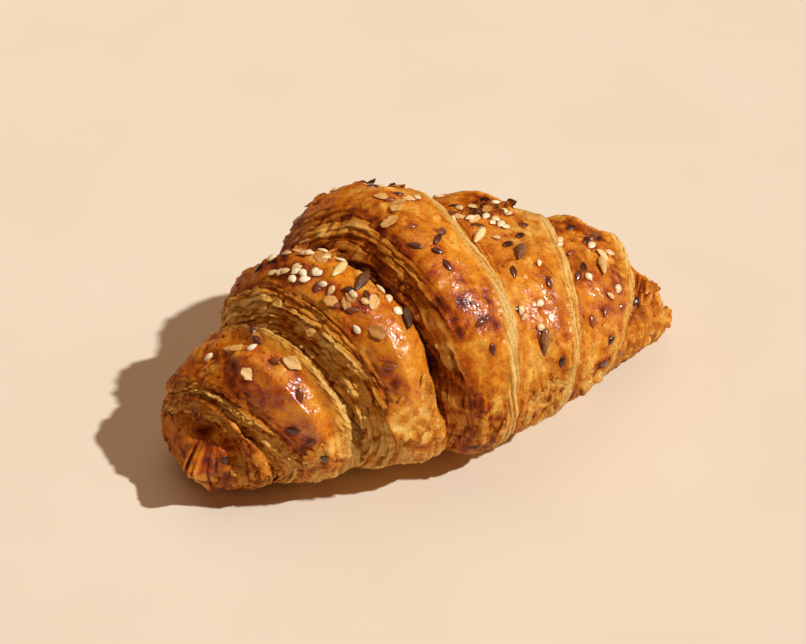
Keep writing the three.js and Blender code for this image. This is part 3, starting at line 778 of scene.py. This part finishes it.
def lifted_leaves():
    """Thin ragged leaves: a disc in rings of r, its edge torn by noise, bent to the loaf and curled up
    on its free side by lift * r^1.5, with an underside `thick` millimetres below that closes it."""
    rows, columns, thick = 10, 88, 0.35
    round_it, along_it = 0.8 * RADIUS, 60.0  # how the crust beneath curves, round the loaf and along it
    r = np.concatenate([np.linspace(0.06, 1, rows), np.linspace(0.98, 0.06, rows)])[:, None]
    under = (np.arange(2 * rows) >= rows)[:, None]
    turn = np.linspace(0, 2 * math.pi, columns, endpoint=False)
    grids, marks = [], {key: [] for key in ("shade", "cut", "crease", "wash", "gloss", "grain")}
    for number, (x, degrees, length, width, twist, lift, baked) in enumerate(LEAVES):
        angle, twist = math.radians(degrees), math.radians(twist)
        outward = np.array([0, -math.cos(angle), math.sin(angle)])
        spot, axes = lay(crust_point(np.array(float(x)), angle, 0), np.array([1.0, 0, 0]), outward)
        rim = 1 + 0.45 * noise(np.stack([2 * np.cos(turn), 2 * np.sin(turn), 0 * turn + 5.3 * number], -1))
        rim += 0.2 * noise(np.stack([4 * np.cos(turn), 4 * np.sin(turn), 0 * turn + 9.1 * number], -1))
        u = r * rim * length / 2 * np.cos(turn)
        v = r * rim * width / 2 * np.sin(turn)
        free = ease(np.cos(turn - twist), -0.6, 0.8)
        bent = v**2 / (2 * round_it) + u**2 / (2 * along_it)
        up = 0.2 + r**1.5 * (lift * free - 0.7 * (1 - free)) - bent
        place = np.stack([u, v, 0 * u + 9 * number], -1)
        up = up + 0.3 * noise(place / 2.6) + 0.12 * noise(place / 0.9) - thick * under
        grids.append(spot + np.stack([u, v, up], -1) @ axes)
        marks["shade"].append(baked + 0.2 * r**3 + 0.4 * noise(place / 3) + 0.15 * noise(place / 1.2))
        marks["cut"].append(0.3 * r**4 + 0.5 * under + 0 * u)
        # Painted shade on the leaves' undersides.
        marks["crease"].append(0.3 * under + 0 * u)
        marks["wash"].append(0.3 * (1 - r) + 0 * u)
        marks["gloss"].append(0 * u + 0.05)
        marks["grain"].append(np.stack([u, v, up], -1))
    grid = np.array(grids)
    closed_mesh("lifted_leaves", grid, grid[:, 0].mean(1), grid[:, -1].mean(1),
                {key: np.array(values) for key, values in marks.items()}, CRUST, "crust")


lifted_leaves()

# ---------- floor, light and camera ----------
def paper_floor():
    """A sheet of smooth cream card, evenly lit: matt, with a trace of grain."""
    material, tree = new_material("cream_card")
    here = node(tree, "TexCoord")
    clouds = node(tree, "TexNoise", Vector=(here, "Object"), Scale=1 / (60 * MM), Detail=2.0)
    tone = node(tree, "ValToRGB", i0=clouds, stops=[(0.3, "ebe1ce"), (0.7, "e8dcc8")])
    shader = node(tree, "BsdfPrincipled", Base_Color=tone, Roughness=0.9, Specular_IOR_Level=0.2)
    node(tree, "OutputMaterial", Surface=shader)
    mesh = bpy.data.meshes.new("floor")
    reach = 3.0  # metres each way
    mesh.from_pydata([(-reach, -reach, 0), (reach, -reach, 0), (reach, reach, 0), (-reach, reach, 0)], [],
                     [(0, 1, 2, 3)])
    mesh.materials.append(material)
    floor = bpy.data.objects.new("floor", mesh)
    bpy.context.scene.collection.objects.link(floor)


def add_light(name, kind, towards, **settings):
    """A lamp shining along `towards`, hung 1.2 times that vector back from the middle of the floor."""
    back = 1.2
    lamp = bpy.data.lights.new(name, kind)
    for key, value in settings.items():
        setattr(lamp, key, value)
    holder = bpy.data.objects.new(name, lamp)
    holder.rotation_euler = Vector(towards).to_track_quat("-Z", "Y").to_euler()
    holder.location = Vector(towards) * -back
    bpy.context.scene.collection.objects.link(holder)


def stand_camera():
    """Looks down on the croissant from its front left, as high as someone at a table."""
    azimuth, elevation, distance = math.radians(-26.3), math.radians(40.2), 0.45
    back = Vector((math.sin(azimuth) * math.cos(elevation), -math.cos(azimuth) * math.cos(elevation),
                   math.sin(elevation)))
    data = bpy.data.cameras.new("camera")
    data.sensor_width = 36
    data.lens = 74.4
    data.shift_x, data.shift_y = -0.0283, -0.0138
    camera = bpy.data.objects.new("camera", data)
    middle = Vector((0, 0, 0.03))
    camera.location = middle + back * distance
    camera.rotation_euler = (-back).to_track_quat("-Z", "Y").to_euler()
    bpy.context.scene.collection.objects.link(camera)
    bpy.context.scene.camera = camera


paper_floor()
add_light("low_sun", "SUN", (-0.42, 0.38, -0.63), energy=3.2, angle=math.radians(1.8),
          color=(1.0, 0.985, 0.95))
add_light("overhead_softbox", "AREA", (-0.05, -0.3, -1), shape="DISK", size=1.4, energy=4.0,
          color=(1.0, 0.69, 0.47))
stand_camera()
scene = bpy.context.scene
scene.view_settings.view_transform = "Standard"
world = bpy.data.worlds.new("soft_room")
scene.world = world
world.use_nodes = True
world.node_tree.nodes["Background"].inputs["Color"].default_value = (0.14, 0.075, 0.042, 1)
